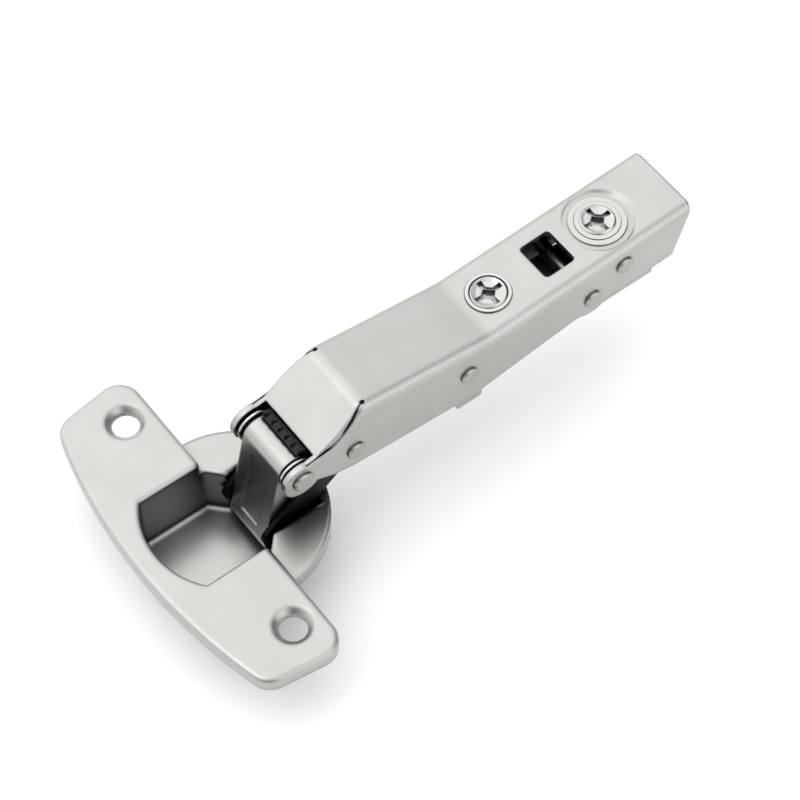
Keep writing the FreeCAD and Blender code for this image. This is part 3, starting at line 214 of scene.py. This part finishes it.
tree.links.new(inside.outputs["Result"], well.inputs[1])
wall = add_node(tree, "ShaderNodeMath", {"operation": "MULTIPLY"})
tree.links.new(well.outputs["Value"], wall.inputs[0])
tree.links.new(inward.outputs["Result"], wall.inputs[1])
shade = add_node(tree, "ShaderNodeMapRange", {"To Min": 1.0, "To Max": WALL_SHADE}, {"Value": wall.outputs["Value"]})
painted_wall_shade = add_node(tree, "ShaderNodeVectorMath", {"operation": "SCALE"},
                     {"Vector": shader.inputs["Base Color"].links[0].from_socket, "Scale": shade.outputs["Result"]})
tree.links.new(painted_wall_shade.outputs["Vector"], shader.inputs["Base Color"])
dress(["hinge_cup"], drawn)

# Pins and the damper's rod
# Turned steel pins, nickel-plated like the sheet and riveted over, so their heads
# are a little smoother and darker than the pressed faces round them.
PIN_NODES = ["cup_axle", "nose_pin", "link_pin", "hook_pin", "guide_pin", "tail_pin", "carrier_axle", "catch_axle",
             "damper_rod"]
dress(PIN_NODES, plated("nickel_plated_pin", "#A9A8A5", "#9F9E9A", 0.27, 0.05, 0.25, 0.002))

# Spacers on the nose pin, inner link and its studs
# The rubbing steel parts, black from a manganese phosphate bath that holds the oil; the black
# also stands for painted shade, so that they show as dark gaps beside the roll and in the cup's slot.
BLACK_NODES = ["left_spacer", "right_spacer", "inner_link", "left_stud", "right_stud"]
dress(BLACK_NODES, plated("black_phosphate_and_gap_shade", "#1E1E1E", "#171717", 0.5, 0.05, 0.2, 0.002))

# Thrust washers on the spacers
# Thin hard washers pressed on the black sleeves, one on each side of the roll, that keep
# the link clear of the arm's sides: each a bright rim between two dark gaps.
WASHER_OUTER = 0.0036
WASHER_HOLE = 0.00292
WASHER_THICK = 0.0005
WASHER_SIDE = 0.00625
WASHER_EDGE = 0.00014
NOSE_PIN_X = 0.0098
NOSE_PIN_Z = 0.0123
thrust_plate = plated("thrust_washer_nickel", "#C6C5C3", "#BEBDBA", 0.2, 0.03, 0.25, 0.001)
for side, way in (("left", 1), ("right", -1)):
    bpy.ops.object.select_all(action="DESELECT")
    bpy.ops.mesh.primitive_cylinder_add(vertices=72, radius=WASHER_OUTER, depth=WASHER_THICK, end_fill_type="NOTHING",
                                        location=(NOSE_PIN_X, way * WASHER_SIDE, NOSE_PIN_Z),
                                        rotation=(math.pi / 2, 0, 0))
    washer = bpy.context.object
    washer.name = side + "_thrust_washer"
    bpy.ops.object.transform_apply(location=True, rotation=True, scale=True)
    ring = washer.modifiers.new("hole", "SOLIDIFY")
    ring.thickness = WASHER_OUTER - WASHER_HOLE
    ring.offset = -1
    edge = washer.modifiers.new("tumbled_edge", "BEVEL")
    edge.width = WASHER_EDGE
    edge.segments = 3
    edge.limit_method = "ANGLE"
    for modifier in ("hole", "tumbled_edge"):
        bpy.ops.object.modifier_apply(modifier=modifier)
    bpy.ops.object.shade_smooth_by_angle(angle=math.radians(50))
    washer.data.materials.append(thrust_plate)
    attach(washer, "arm")

# Adjusting screws
# Cold-headed steel screws and their bush and ring with a bright nickel plate, the
# shiniest metal on the hinge.
SCREW_NODES = ["side_screw", "side_screw_collar", "depth_cam_screw", "depth_cam_ring"]
# The short reach and low deepest value make the painted shade in their slots and recesses nearly black.
dress(SCREW_NODES, plated("bright_nickel_plate", "#BAB9B6", "#B2B1AE", 0.17, 0.04, 0.3, 0.001,
                          edge_mm=0.15, recess_mm=3, deepest=0.05))

# Damper housing, plunger and slide block
# Injection-moulded acetal, black right through, from a spark-eroded mould: a low even
# gloss over a grain of 0.2 mm.
PLASTIC_NODES = ["damper_housing", "spring_plunger", "slide_block"]
ACETAL_IOR = 1.4
PORE_MM = 0.2
PORE_DEPTH_MM = 0.004
acetal, tree, shader = new_material("black_moulded_acetal", "#0B0B0C", 0.42)
shader.inputs["IOR"].default_value = ACETAL_IOR
place = add_node(tree, "ShaderNodeTexCoord").outputs["Object"]
pores = add_node(tree, "ShaderNodeTexNoise", {"Scale": 1000 / PORE_MM, "Detail": 2.0}, {"Vector": place})
bump = add_node(tree, "ShaderNodeBump", {"Strength": 0.4, "Distance": PORE_DEPTH_MM / 1000},
                {"Height": pores.outputs["Fac"]})
tree.links.new(bump.outputs["Normal"], shader.inputs["Normal"])
dress(PLASTIC_NODES, acetal)

# Springs
# Hard-drawn spring wire for the closing spring and hardened strip for the catch's leaf,
# bare but oiled: darker and bluer than the plated parts.
SPRING_NODES = ["closing_spring", "catch_spring"]
dress(SPRING_NODES, plated("oiled_spring_steel", "#8F9092", "#77787A", 0.3, 0.05, 0.3, 0.002))
